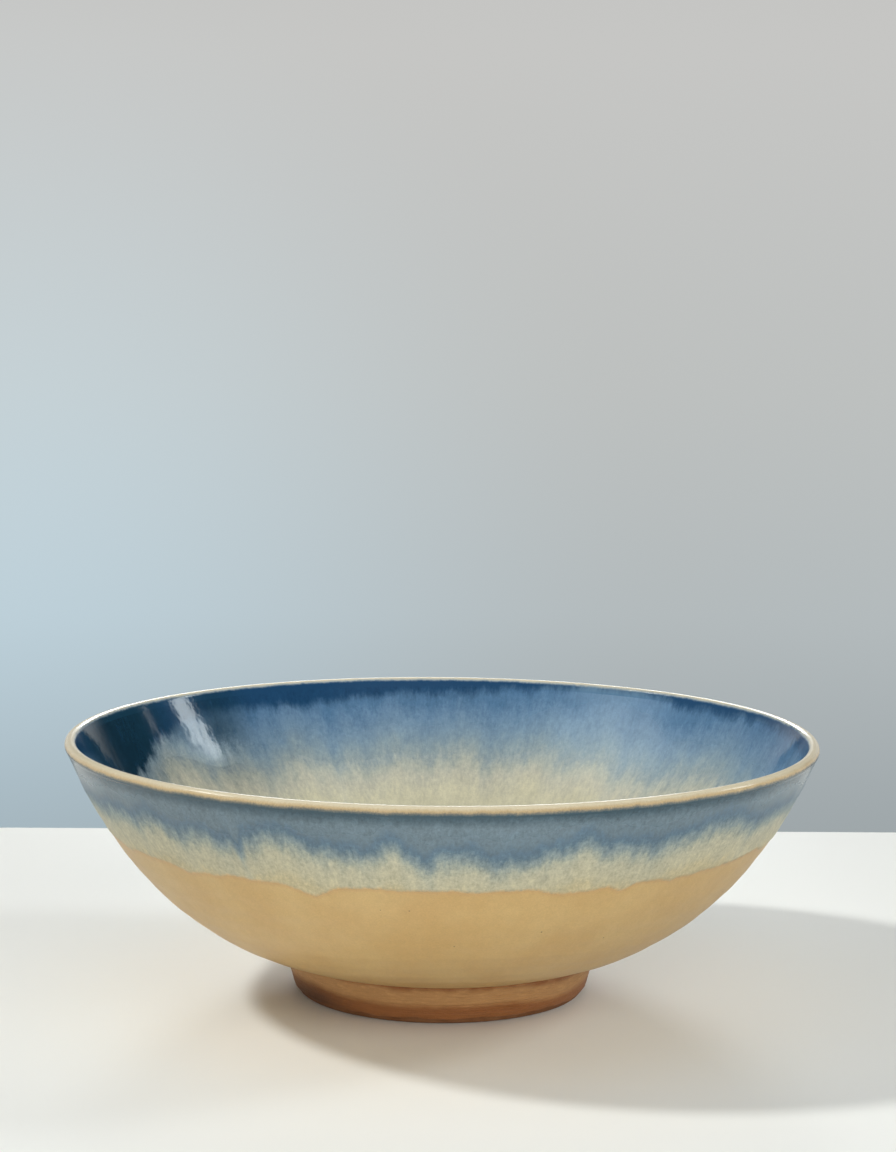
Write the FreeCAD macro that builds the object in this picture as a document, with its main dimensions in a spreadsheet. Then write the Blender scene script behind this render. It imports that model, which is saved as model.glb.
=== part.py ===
import FreeCAD, Part
import os
import re
import Sketcher

# A hand-thrown stoneware punch bowl on a foot ring.
#
# The bowl stands on the plane Z = 0, with its axis on Z.  Every piece is a
# closed outline turned round that axis.  An outline lies in the half plane
# of radius and height, both in millimetres.
#
# The wall hangs from the lip.  Its outside and its inside are each a chain of
# tangent arcs, and both chains turn through the same slope angles: slope_0
# where the foot joins, then slope_1 and slope_2, and slope_3 under the lip.
# A last arc, centred on the axis, closes each chain at the middle of the bowl.
#
# The finished surfaces are those of the fired glaze.  The clay lies one glaze
# thickness behind them.

DRIVING_SIZES = {
    # whole bowl
    "rim_radius": 180.0,
    "bowl_height": 124.0,
    # rounded lip: radius of its cross-section
    "lip_roll": 2.8,
    # how far below level the lip's roll meets the outside and the inside wall
    "lip_under_angle": 45.0,
    # slopes of the wall, in degrees from level
    "slope_0": 12.5,
    "slope_1": 28.75,
    "slope_2": 52.25,
    "slope_3": 67.8,
    # radii of the outside arcs, low to high
    "outside_low": 114.0,
    "outside_mid": 144.0,
    "outside_high": 219.0,
    # radii of the inside arcs, low to high
    "inside_low": 112.0,
    "inside_mid": 138.0,
    "inside_high": 208.0,
    # coats: the glaze square to the wall, the foot's wash straight across
    "glaze_thick": 0.7,
    "wash_thick": 0.4,
    # heights of the borders between glaze bands
    "outer_blue_edge": 102.0,
    "outer_cream_edge": 82.0,
    "inner_blue_edge": 84.0,
    "lip_inner_edge": 119.5,
    # foot ring: radii of its clay at the base and under the bowl
    "foot_outside_base": 69.2,
    "foot_inside_base": 60.5,
    "foot_inside_top": 57.0,
    "foot_round": 1.6,
    "wash_stop": 2.4,
}

# Each chain point, from the lip down to the axis, is worked out from the one
# above it.  A formula may use the sizes above and the formulas before it.
DERIVED_SIZES = {
    "lip_centre_radius": "rim_radius - lip_roll",
    "lip_centre_height": "bowl_height - lip_roll",
    # outside chain: radius and height of its points 3 (top) to 0 (foot)
    "out_r_3": "lip_centre_radius + lip_roll * sin(lip_under_angle * 1deg)",
    "out_z_3": "lip_centre_height - lip_roll * cos(lip_under_angle * 1deg)",
    "out_r_2": "out_r_3 - outside_high * (sin(slope_3 * 1deg) - sin(slope_2 * 1deg))",
    "out_z_2": "out_z_3 - outside_high * (cos(slope_2 * 1deg) - cos(slope_3 * 1deg))",
    "out_r_1": "out_r_2 - outside_mid * (sin(slope_2 * 1deg) - sin(slope_1 * 1deg))",
    "out_z_1": "out_z_2 - outside_mid * (cos(slope_1 * 1deg) - cos(slope_2 * 1deg))",
    "out_r_0": "out_r_1 - outside_low * (sin(slope_1 * 1deg) - sin(slope_0 * 1deg))",
    "out_z_0": "out_z_1 - outside_low * (cos(slope_0 * 1deg) - cos(slope_1 * 1deg))",
    "outside_base": "out_r_0 / sin(slope_0 * 1deg)",
    "out_z_axis": "out_z_0 - outside_base * (1 - cos(slope_0 * 1deg))",
    # inside chain
    "in_r_3": "lip_centre_radius - lip_roll * sin(slope_3 * 1deg)",
    "in_z_3": "lip_centre_height + lip_roll * cos(slope_3 * 1deg)",
    "in_r_2": "in_r_3 - inside_high * (sin(slope_3 * 1deg) - sin(slope_2 * 1deg))",
    "in_z_2": "in_z_3 - inside_high * (cos(slope_2 * 1deg) - cos(slope_3 * 1deg))",
    "in_r_1": "in_r_2 - inside_mid * (sin(slope_2 * 1deg) - sin(slope_1 * 1deg))",
    "in_z_1": "in_z_2 - inside_mid * (cos(slope_1 * 1deg) - cos(slope_2 * 1deg))",
    "in_r_0": "in_r_1 - inside_low * (sin(slope_1 * 1deg) - sin(slope_0 * 1deg))",
    "in_z_0": "in_z_1 - inside_low * (cos(slope_0 * 1deg) - cos(slope_1 * 1deg))",
    "inside_base": "in_r_0 / sin(slope_0 * 1deg)",
    "in_z_axis": "in_z_0 - inside_base * (1 - cos(slope_0 * 1deg))",
    # slope of the wall at each border between bands
    "outer_blue_slope": "acos(cos(slope_3 * 1deg) + (out_z_3 - outer_blue_edge) / outside_high) / 1deg",
    "outer_cream_slope": "acos(cos(slope_3 * 1deg) + (out_z_3 - outer_cream_edge) / outside_high) / 1deg",
    "inner_blue_slope": "acos(cos(slope_3 * 1deg) + (in_z_3 - inner_blue_edge) / inside_high) / 1deg",
    "lip_inner_slope": "acos(cos(slope_3 * 1deg) + (in_z_3 - lip_inner_edge) / inside_high) / 1deg",
    # the foot's top follows the underside of the bowl
    "foot_outside_top": "out_r_0 - wash_thick",
    "foot_outside_z": "out_z_axis + outside_base - sqrt(outside_base ^ 2 - foot_outside_top ^ 2)",
    "foot_inside_z": "out_z_axis + outside_base - sqrt(outside_base ^ 2 - foot_inside_top ^ 2)",
    # going up, the foot's outer side leans out and its inner side leans in
    "outer_lean": "atan((foot_outside_top - foot_outside_base) / foot_outside_z) / 1deg",
    "inner_lean": "atan((foot_inside_base - foot_inside_top) / foot_inside_z) / 1deg",
    # how far each rounded corner of the standing face runs from its sharp corner
    "outer_corner": "foot_round / tan((90 + outer_lean) / 2 * 1deg)",
    "inner_corner": "foot_round / tan((90 + inner_lean) / 2 * 1deg)",
    "wash_inside_base": "foot_outside_base + wash_stop * tan(outer_lean * 1deg)",
}

SHEET_NAME = "sizes"


def make_sheet(doc):
    """Put the driving sizes and the formulas in one spreadsheet."""
    sheet = doc.addObject("Spreadsheet::Sheet", SHEET_NAME)
    cells = {name: str(size) for name, size in DRIVING_SIZES.items()}
    cells.update({name: "=" + formula for name, formula in DERIVED_SIZES.items()})
    for row, (name, content) in enumerate(cells.items(), start=1):
        sheet.set(f"A{row}", name)
        sheet.set(f"B{row}", content)
        sheet.setAlias(f"B{row}", name)
        doc.recompute()
    return sheet


def in_sheet(expression):
    """Name each size in an expression the way objects outside the sheet do."""
    def full_name(match):
        word = match.group()
        known = word in DRIVING_SIZES or word in DERIVED_SIZES
        return f"{SHEET_NAME}.{word}" if known else word

    return re.sub(r"[A-Za-z_]\w*", full_name, expression)


def below_surface(side, radius, height, slope, depth):
    """A point of the outside or the inside surface, moved by depth into the clay."""
    if side == "out":
        return (f"{radius} - {depth} * sin({slope} * 1deg)", f"{height} + {depth} * cos({slope} * 1deg)")
    return (f"{radius} + {depth} * sin({slope} * 1deg)", f"{height} - {depth} * cos({slope} * 1deg)")


def chain_point(side, number, depth="0"):
    """Chain point 0 to 3 of one side."""
    return below_surface(side, f"{side}_r_{number}", f"{side}_z_{number}", f"slope_{number}", depth)


def border_point(side, border, depth="0"):
    """The point of a side's upper arc where one band of glaze meets the next."""
    arc = f"{side}side_high"
    slope = f"{border}_slope"
    radius = f"({side}_r_3 - {arc} * (sin(slope_3 * 1deg) - sin({slope} * 1deg)))"
    height = f"({side}_z_3 - {arc} * (cos({slope} * 1deg) - cos(slope_3 * 1deg)))"
    return below_surface(side, radius, height, slope, depth)


def axis_point(side, depth="0"):
    """The end of a side's chain, on the axis."""
    lift = "+" if side == "out" else "-"
    return ("0", f"{side}_z_axis {lift} {depth}")


def chain_arc(side, name, depth="0"):
    """The radius of one of a side's arcs, moved by depth into the clay."""
    change = "-" if side == "out" else "+"
    return f"{side}side_{name} {change} {depth}"


def lip_point(angle, depth="0"):
    """A point of the lip's roll, at an angle up from level outwards."""
    return (
        f"lip_centre_radius + (lip_roll - {depth}) * cos({angle} * 1deg)",
        f"lip_centre_height + (lip_roll - {depth}) * sin({angle} * 1deg)",
    )


LEFT, RIGHT = 1, -1


class Outline:
    """A closed outline of straight lines and arcs, held by sizes in the sheet."""

    def __init__(self, body):
        plane = next(part for part in body.Origin.OriginFeatures if part.Role == "XZ_Plane")
        self.sketch = body.newObject("Sketcher::SketchObject", body.Name + "_outline")
        self.sketch.AttachmentSupport = [(plane, "")]
        self.sketch.MapMode = "FlatFace"
        self.points = []
        self.edges = []

    def start(self, point):
        self.points.append(point)

    def line(self, point):
        """Go straight on to a point."""
        self.points.append(point)
        self.edges.append(None)

    def arc(self, point, radius, turn):
        """Go on to a point along an arc that bends LEFT or RIGHT on its way."""
        self.points.append(point)
        self.edges.append((radius, turn))

    def value(self, expression):
        """The number that an expression gives."""
        result = self.sketch.evalExpression(in_sheet(expression))
        return float(getattr(result, "Value", result))

    def curve(self, start, end, edge):
        """The sketch geometry of one edge."""
        if edge is None:
            return Part.LineSegment(start, end)
        radius, turn = self.value(edge[0]), edge[1]
        chord = end - start
        to_left = FreeCAD.Vector(-chord.y, chord.x, 0).normalize()
        rise = (radius ** 2 - (chord.Length / 2) ** 2) ** 0.5
        centre = start + chord * 0.5 + to_left * (turn * rise)
        crown = centre - to_left * (turn * radius)
        return Part.Arc(start, crown, end)

    def draw_edges(self):
        """Draw each edge, and return its number with its first and last vertex.

        A sketch keeps an arc anticlockwise, so one that bends right is kept
        from its last vertex to its first.
        """
        places = [FreeCAD.Vector(self.value(r), self.value(z), 0) for r, z in self.points]
        drawn = []
        for start, end, edge in zip(places, places[1:], self.edges):
            number = self.sketch.addGeometry(self.curve(start, end, edge), False)
            reversed_arc = edge is not None and edge[1] == RIGHT
            drawn.append((number, 2, 1) if reversed_arc else (number, 1, 2))
        return drawn

    def bind(self, kind, *what, size):
        """Add a constraint whose size is an expression of the sheet."""
        number = self.sketch.addConstraint(Sketcher.Constraint(kind, *what, self.value(size)))
        self.sketch.setExpression(f"Constraints[{number}]", in_sheet(size))

    def hold(self, number, vertex, point):
        """Hold one vertex at its radius and height."""
        origin = (-1, 1)
        level_axis, upright_axis = -1, -2
        for size, kind, axis in ((point[0], "DistanceX", upright_axis), (point[1], "DistanceY", level_axis)):
            if size == "0":
                self.sketch.addConstraint(Sketcher.Constraint("PointOnObject", number, vertex, axis))
            else:
                self.bind(kind, *origin, number, vertex, size=size)

    def close(self):
        """Close the outline with a straight line, and hold all of it."""
        self.line(self.points[0])
        drawn = self.draw_edges()
        following = drawn[1:] + drawn[:1]
        for (number, _, last), (next_number, next_first, _) in zip(drawn, following):
            joined = Sketcher.Constraint("Coincident", number, last, next_number, next_first)
            self.sketch.addConstraint(joined)
        for (number, first, _), point, edge in zip(drawn, self.points, self.edges):
            self.hold(number, first, point)
            if edge is not None:
                self.bind("Radius", number, size=edge[0])
        return self.sketch


def turned_piece(doc, name, draw):
    """A body turned round the bowl's axis from the outline that draw makes."""
    body = doc.addObject("PartDesign::Body", name)
    body.Label = name
    outline = Outline(body)
    draw(outline)
    sketch = outline.close()
    doc.recompute()
    turned = body.newObject("PartDesign::Revolution", name + "_turned")
    turned.Profile = sketch
    turned.ReferenceAxis = (sketch, ["V_Axis"])
    turned.Angle = 360
    body.Tip = turned
    body.Placement = FreeCAD.Placement()
    doc.recompute()
    return body


def draw_bowl_body(outline):
    """The thrown clay bowl: floor, wall and rounded lip, under the coats.

    Its underside is bare clay, so it has no coat to leave room for there.
    """
    coat = "glaze_thick"
    outline.start(axis_point("out"))
    outline.arc(chain_point("out", 0), chain_arc("out", "base"), LEFT)
    outline.line(chain_point("out", 0, coat))
    outline.arc(chain_point("out", 1, coat), chain_arc("out", "low", coat), LEFT)
    outline.arc(chain_point("out", 2, coat), chain_arc("out", "mid", coat), LEFT)
    outline.arc(chain_point("out", 3, coat), chain_arc("out", "high", coat), LEFT)
    outline.line(lip_point("-lip_under_angle", coat))
    outline.arc(lip_point("slope_3", coat), f"lip_roll - {coat}", LEFT)
    outline.arc(chain_point("in", 3, coat), f"lip_roll - {coat}", LEFT)
    outline.arc(chain_point("in", 2, coat), chain_arc("in", "high", coat), RIGHT)
    outline.arc(chain_point("in", 1, coat), chain_arc("in", "mid", coat), RIGHT)
    outline.arc(chain_point("in", 0, coat), chain_arc("in", "low", coat), RIGHT)
    outline.arc(axis_point("in", coat), chain_arc("in", "base", coat), RIGHT)


def draw_foot_ring(outline):
    """The clay foot: a leaning ring, luted to the bowl's underside."""
    outer_round_end = (
        "foot_outside_base + outer_corner * sin(outer_lean * 1deg)",
        "outer_corner * cos(outer_lean * 1deg)",
    )
    inner_round_start = (
        "foot_inside_base - inner_corner * sin(inner_lean * 1deg)",
        "inner_corner * cos(inner_lean * 1deg)",
    )
    outline.start(("foot_outside_base - outer_corner", "0"))
    outline.arc(outer_round_end, "foot_round", LEFT)
    outline.line(("foot_outside_top", "foot_outside_z"))
    outline.arc(("foot_inside_top", "foot_inside_z"), "outside_base", RIGHT)
    outline.line(inner_round_start)
    outline.arc(("foot_inside_base + inner_corner", "0"), "foot_round", LEFT)


def draw_foot_wash(outline):
    """The thin iron wash brushed round the foot's outer side."""
    outline.start(("wash_inside_base + wash_thick", "wash_stop"))
    outline.line(chain_point("out", 0))
    outline.arc(("foot_outside_top", "foot_outside_z"), "outside_base", RIGHT)
    outline.line(("wash_inside_base", "wash_stop"))


def draw_lip_glaze(outline):
    """The cream glaze that thins over the lip's roll."""
    coat = "glaze_thick"
    outline.start(chain_point("out", 3))
    outline.arc(lip_point("slope_3"), "lip_roll", LEFT)
    outline.arc(chain_point("in", 3), "lip_roll", LEFT)
    outline.arc(border_point("in", "lip_inner"), chain_arc("in", "high"), RIGHT)
    outline.line(border_point("in", "lip_inner", coat))
    outline.arc(chain_point("in", 3, coat), chain_arc("in", "high", coat), LEFT)
    outline.arc(lip_point("slope_3", coat), f"lip_roll - {coat}", RIGHT)
    outline.arc(lip_point("-lip_under_angle", coat), f"lip_roll - {coat}", RIGHT)
    outline.line(chain_point("out", 3, coat))


def draw_inner_blue_glaze(outline):
    """The blue band inside, from below the lip to where it runs into cream."""
    coat = "glaze_thick"
    outline.start(border_point("in", "lip_inner"))
    outline.arc(border_point("in", "inner_blue"), chain_arc("in", "high"), RIGHT)
    outline.line(border_point("in", "inner_blue", coat))
    outline.arc(border_point("in", "lip_inner", coat), chain_arc("in", "high", coat), LEFT)


def draw_inner_cream_glaze(outline):
    """The cream glaze that lines the lower wall and the well."""
    coat = "glaze_thick"
    outline.start(border_point("in", "inner_blue"))
    outline.arc(chain_point("in", 2), chain_arc("in", "high"), RIGHT)
    outline.arc(chain_point("in", 1), chain_arc("in", "mid"), RIGHT)
    outline.arc(chain_point("in", 0), chain_arc("in", "low"), RIGHT)
    outline.arc(axis_point("in"), chain_arc("in", "base"), RIGHT)
    outline.line(axis_point("in", coat))
    outline.arc(chain_point("in", 0, coat), chain_arc("in", "base", coat), LEFT)
    outline.arc(chain_point("in", 1, coat), chain_arc("in", "low", coat), LEFT)
    outline.arc(chain_point("in", 2, coat), chain_arc("in", "mid", coat), LEFT)
    outline.arc(border_point("in", "inner_blue", coat), chain_arc("in", "high", coat), LEFT)


def draw_outer_blue_glaze(outline):
    """The blue band outside, under the lip."""
    coat = "glaze_thick"
    outline.start(border_point("out", "outer_blue"))
    outline.arc(chain_point("out", 3), chain_arc("out", "high"), LEFT)
    outline.line(chain_point("out", 3, coat))
    outline.arc(border_point("out", "outer_blue", coat), chain_arc("out", "high", coat), RIGHT)


def draw_outer_cream_glaze(outline):
    """The cream band outside, below the blue one."""
    coat = "glaze_thick"
    outline.start(border_point("out", "outer_cream"))
    outline.arc(border_point("out", "outer_blue"), chain_arc("out", "high"), LEFT)
    outline.line(border_point("out", "outer_blue", coat))
    outline.arc(border_point("out", "outer_cream", coat), chain_arc("out", "high", coat), RIGHT)


def draw_outer_tan_glaze(outline):
    """The tan glaze outside, from the foot to the cream band."""
    coat = "glaze_thick"
    outline.start(chain_point("out", 0))
    outline.arc(chain_point("out", 1), chain_arc("out", "low"), LEFT)
    outline.arc(chain_point("out", 2), chain_arc("out", "mid"), LEFT)
    outline.arc(border_point("out", "outer_cream"), chain_arc("out", "high"), LEFT)
    outline.line(border_point("out", "outer_cream", coat))
    outline.arc(chain_point("out", 2, coat), chain_arc("out", "high", coat), RIGHT)
    outline.arc(chain_point("out", 1, coat), chain_arc("out", "mid", coat), RIGHT)
    outline.arc(chain_point("out", 0, coat), chain_arc("out", "low", coat), RIGHT)


PIECES = {
    "bowl_body": draw_bowl_body,
    "foot_ring": draw_foot_ring,
    "foot_wash": draw_foot_wash,
    "lip_glaze": draw_lip_glaze,
    "inner_blue_glaze": draw_inner_blue_glaze,
    "inner_cream_glaze": draw_inner_cream_glaze,
    "outer_blue_glaze": draw_outer_blue_glaze,
    "outer_cream_glaze": draw_outer_cream_glaze,
    "outer_tan_glaze": draw_outer_tan_glaze,
}


def check_document(doc, bodies):
    """Stop if any object failed, a sketch is loose, or a piece isn't one valid solid."""
    for thing in doc.Objects:
        if "Invalid" in thing.State or "Error" in thing.State:
            raise RuntimeError(f"{thing.Name} failed: {thing.State}")
        if thing.TypeId == "Sketcher::SketchObject" and not thing.FullyConstrained:
            raise RuntimeError(f"{thing.Name} isn't fully held")
    for body in bodies:
        shape = body.Shape
        if shape.isNull() or not shape.isValid() or len(shape.Solids) != 1 or shape.Volume <= 0:
            raise RuntimeError(f"{body.Label} isn't one valid solid")


def main():
    doc = FreeCAD.newDocument("punch_bowl")
    make_sheet(doc)
    bodies = [turned_piece(doc, name, draw) for name, draw in PIECES.items()]
    check_document(doc, bodies)
    os.makedirs("parts", exist_ok=True)
    for body in bodies:
        body.Shape.exportStep(f"parts/{body.Label}.step")
        box = body.Shape.optimalBoundingBox(False, False)
        print(
            f"{body.Label}: {body.Shape.Volume / 1000:.1f} cm3,"
            f" radius {box.XMax:.2f} mm, Z {box.ZMin:.2f} to {box.ZMax:.2f} mm"
        )


main()
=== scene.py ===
import math

import bpy
import numpy as np
from mathutils import Matrix, Vector


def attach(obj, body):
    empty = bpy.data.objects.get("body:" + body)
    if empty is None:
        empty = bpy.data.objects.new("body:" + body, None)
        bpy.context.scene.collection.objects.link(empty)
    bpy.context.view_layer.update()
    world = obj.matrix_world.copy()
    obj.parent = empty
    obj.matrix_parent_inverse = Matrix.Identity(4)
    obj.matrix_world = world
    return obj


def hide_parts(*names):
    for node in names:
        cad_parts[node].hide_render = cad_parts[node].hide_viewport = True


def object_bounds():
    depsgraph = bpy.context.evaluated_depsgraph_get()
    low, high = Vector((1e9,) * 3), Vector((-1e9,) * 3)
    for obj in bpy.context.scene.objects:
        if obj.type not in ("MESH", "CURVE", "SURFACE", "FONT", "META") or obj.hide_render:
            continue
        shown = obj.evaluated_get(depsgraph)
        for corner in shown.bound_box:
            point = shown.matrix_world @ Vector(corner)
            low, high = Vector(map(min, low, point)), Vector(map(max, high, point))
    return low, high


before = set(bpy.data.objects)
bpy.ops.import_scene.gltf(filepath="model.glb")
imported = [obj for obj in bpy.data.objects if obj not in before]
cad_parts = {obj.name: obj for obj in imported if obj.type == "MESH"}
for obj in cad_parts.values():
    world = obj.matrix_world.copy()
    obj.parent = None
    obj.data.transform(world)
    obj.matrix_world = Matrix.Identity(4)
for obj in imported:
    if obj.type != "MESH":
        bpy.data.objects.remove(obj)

MM = 0.001
CAD_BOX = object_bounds()

# ---------------------------------------------------------------- the form
#
# Every point of the glazed surface is named by two numbers.  One is its
# distance along the profile, in metres: below 0 down the outside, 0 to
# LIP_LENGTH over the lip, and above that down the inside to the well's middle.
# The other is its azimuth, in degrees from +X.  The profile is two chains of
# arcs that hang from the lip's roll, as in the CAD model.

RIM_RADIUS = CAD_BOX[1].x
BOWL_HEIGHT = CAD_BOX[1].z
LIP_ROLL = 2.8 * MM
LIP_UNDER = math.radians(45)
SLOPES = np.radians([67.8, 52.25, 28.75, 12.5, 0.0])
OUTSIDE_ARCS = (219 * MM, 144 * MM, 114 * MM)
INSIDE_ARCS = (208 * MM, 138 * MM, 112 * MM)
LIP_CENTRE = (RIM_RADIUS - LIP_ROLL, BOWL_HEIGHT - LIP_ROLL)

GLAZE = 0.7 * MM
COLUMNS = 720
AZIMUTHS = np.arange(COLUMNS) * (360.0 / COLUMNS)
HIDDEN_ROWS = 4
AXIS_GAP = 1.5 * MM
NORMAL_STEP = 0.05 * MM
NORMAL_TURN = 0.02
SHARP_EDGE = math.radians(40)
BAKE_MARGIN = 0.006


class Wall:
    """One side of the bowl's wall, as a chain of arcs that hangs from the lip."""

    def __init__(self, top, arcs):
        self.starts, self.radii, self.centres = [0.0], [], []
        r, z = top
        for number, radius in enumerate(arcs + (None,)):
            steep, flat = SLOPES[number], SLOPES[number + 1]
            if radius is None:
                radius = r / math.sin(steep)
            centre = (r - radius * math.sin(steep), z + radius * math.cos(steep))
            r, z = centre[0] + radius * math.sin(flat), centre[1] - radius * math.cos(flat)
            self.radii.append(radius)
            self.centres.append(centre)
            self.starts.append(self.starts[-1] + radius * (steep - flat))
        self.junction = self.starts[3]
        self.length = self.starts[4]

    def point(self, down):
        """Radius, height and slope at each distance from the lip."""
        arc = np.clip(np.searchsorted(self.starts, down, side="right") - 1, 0, 3)
        radius = np.take(self.radii, arc)
        slope = SLOPES[arc] - (down - np.take(self.starts, arc)) / radius
        centre_r = np.take([c[0] for c in self.centres], arc)
        centre_z = np.take([c[1] for c in self.centres], arc)
        return centre_r + radius * np.sin(slope), centre_z - radius * np.cos(slope), slope


def on_roll(angle, reach=LIP_ROLL):
    """Radius and height of a point on the lip's roll, at an angle up from outwards."""
    return LIP_CENTRE[0] + reach * np.cos(angle), LIP_CENTRE[1] + reach * np.sin(angle)


OUTSIDE = Wall(on_roll(-LIP_UNDER), OUTSIDE_ARCS)
INSIDE = Wall(on_roll(math.pi / 2 + SLOPES[0]), INSIDE_ARCS)
LIP_LENGTH = LIP_ROLL * (math.pi / 2 + SLOPES[0] + LIP_UNDER)


def profile(along):
    """Radius, height and outward normal of the even form."""
    r, z, slope = OUTSIDE.point(np.maximum(-along, 0))
    normal_r, normal_z = np.sin(slope), -np.cos(slope)
    over = along > 0
    angle = along / LIP_ROLL - LIP_UNDER
    lip_r, lip_z = on_roll(angle)
    r, z = np.where(over, lip_r, r), np.where(over, lip_z, z)
    normal_r, normal_z = np.where(over, np.cos(angle), normal_r), np.where(over, np.sin(angle), normal_z)
    within = along > LIP_LENGTH
    in_r, in_z, slope = INSIDE.point(np.maximum(along - LIP_LENGTH, 0))
    r, z = np.where(within, in_r, r), np.where(within, in_z, z)
    return r, z, np.where(within, -np.sin(slope), normal_r), np.where(within, np.cos(slope), normal_z)


# ------------------------------------------------- unevenness from the hand


def waves(azimuth, seed, low, high, count, fall=0.5):
    """A smooth random line round the bowl, of about unit height.

    It is a sum of whole waves, low to high of them in a turn, so that it
    closes.  The higher ones are lower by the power fall.
    """
    random = np.random.default_rng(seed)
    numbers = random.integers(low, high + 1, count)
    phases = random.uniform(0, 2 * math.pi, count)
    heights = (low / numbers) ** fall
    turn = np.radians(azimuth)
    total = sum(h * np.cos(n * turn + p) for n, p, h in zip(numbers, phases, heights))
    return total / math.sqrt(float((heights**2).sum()) / 2)


def lobes(azimuth, shapes):
    """The sum of rounded lobes, each given by azimuth, half width and length."""
    total = np.zeros_like(azimuth)
    for centre, width, length in shapes:
        away = (azimuth - centre + 180) % 360 - 180
        total += length * np.exp(-((away / width) ** 2))
    return total


# Where the cream glaze ran further over the tan, or less far where the length
# is negative: azimuth, half width, length
CREAM_RUNS = (
    (226, 5.0, 2.4 * MM),
    (249.5, 3.4, 4.8 * MM),
    (257, 3.0, -1.6 * MM),
    (270, 6.0, -1.0 * MM),
    (292, 5.0, 2.6 * MM),
    (299.5, 2.2, 4.0 * MM),
    (309, 1.6, 3.0 * MM),
    (314, 3.0, 2.0 * MM),
    (332, 6.0, -1.2 * MM),
    (20, 4.0, 4.0 * MM),
    (61, 3.0, 3.0 * MM),
    (104, 4.0, 4.6 * MM),
    (148, 3.0, 3.4 * MM),
)
# Where the blue outside ran down, or the cream broke up through it where the
# length is negative
OUTER_BLUE_RUNS = (
    (217, 1.8, 3.0 * MM),
    (222, 2.2, -3.0 * MM),
    (236, 1.6, 4.0 * MM),
    (239, 0.8, 9.0 * MM),
    (247, 4.0, -4.0 * MM),
    (263, 1.6, -4.0 * MM),
    (268, 1.4, 4.0 * MM),
    (280, 5.0, 2.6 * MM),
    (291, 2.0, -5.5 * MM),
    (303, 4.0, 0.8 * MM),
    (316, 5.0, -3.0 * MM),
    (325, 2.0, 4.0 * MM),
    (30, 3.0, 4.0 * MM),
    (75, 2.5, -3.5 * MM),
    (120, 2.0, 5.0 * MM),
    (160, 4.0, -3.0 * MM),
    (222, 12, -1.5 * MM),
    (267, 9, 3.0 * MM),
    (286, 7, 2.0 * MM),
    (322, 10, -1.5 * MM),
)
# The same inside
INNER_BLUE_RUNS = (
    (149, 6.5, -11.0 * MM),
    (133, 4.0, -2.0 * MM),
    (110, 22.0, 4.0 * MM),
    (119, 2.6, -4.0 * MM),
    (111.5, 1.4, 5.0 * MM),
    (99, 3.0, -2.5 * MM),
    (86, 2.4, -4.0 * MM),
    (80.5, 1.6, 3.0 * MM),
    (71, 3.0, -2.5 * MM),
    (53, 1.6, 4.0 * MM),
    (44, 3.0, 4.0 * MM),
    (28, 4.0, -5.0 * MM),
    (8, 3.0, 6.0 * MM),
    (190, 5.0, 5.0 * MM),
    (228, 4.0, -7.0 * MM),
    (265, 5.0, 6.0 * MM),
    (301, 3.0, -6.0 * MM),
    (335, 4.0, 5.0 * MM),
)

# How far the dark line under the lip runs down the inside beyond LINE_END
INNER_LINE_RUNS = (
    (118, 13, 5.0 * MM),
    (160, 17, 17.0 * MM),
    (60, 15, -7.5 * MM),
    (22, 12, -3.5 * MM),
    (215, 14, 6.0 * MM),
    (255, 10, 2.0 * MM),
    (300, 16, 4.0 * MM),
)
# Where the blue inside is darker, deep cobalt with painted shade on the left, or
# paler with a painted sheen where the share is negative: azimuth, half width, share
INNER_DARK_AND_SHEEN = ((163, 17, 1.0), (134, 8, 0.45), (57, 13, -0.55), (240, 14, 0.2))

OUTER_BLUE_END = 19 * MM
LINE_END = 6.3 * MM
OUTER_CREAM_END = 41.5 * MM
LIP_GLAZE_END = 2.9 * MM
INNER_BLUE_END = 36 * MM


def outer_blue_edge(azimuth):
    """How far down the outside the blue ends."""
    return OUTER_BLUE_END + lobes(azimuth, OUTER_BLUE_RUNS) + 0.9 * MM * waves(azimuth, 11, 9, 60, 18)


def outer_cream_edge(azimuth):
    """How far down the outside the cream ends."""
    rough = 0.45 * MM * waves(azimuth, 12, 14, 60, 16) + 0.16 * MM * waves(azimuth, 13, 60, 220, 26, 0.2)
    return OUTER_CREAM_END + lobes(azimuth, CREAM_RUNS) + rough


def inner_blue_edge(azimuth):
    """How far down the inside the blue ends."""
    return INNER_BLUE_END + lobes(azimuth, INNER_BLUE_RUNS) + 1.0 * MM * waves(azimuth, 14, 7, 40, 18)


def inner_line_edge(azimuth):
    """How far down the inside the dark line under the lip ends."""
    return LINE_END + lobes(azimuth, INNER_LINE_RUNS) + 0.5 * MM * waves(azimuth, 15, 7, 60, 18)


def smooth_step(low, high, value):
    """0 below low, 1 above high, and a smooth rise between."""
    share = np.clip((value - low) / (high - low), 0, 1)
    return share * share * (3 - 2 * share)


# Relief of the thrown wall: pitch and height of its ridges, and the glaze's edge
RIDGE_PITCH = 11 * MM
RIDGE_HEIGHT = 0.05 * MM
SWELL_PITCH = 30 * MM
SWELL_HEIGHT = 0.09 * MM
INSIDE_SMOOTHED = 0.3
BEAD_HEIGHT = 0.18 * MM
ROLL_HEIGHT = 0.08 * MM
ROLL_PLACE = 2.2 * MM
ROLL_WIDTH = 1.5 * MM
OUTSIDE_STREAK = 0.010 * MM
INSIDE_STREAK = 0.008 * MM
OUTSIDE_SET_BACK = 0.2 * MM


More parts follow.
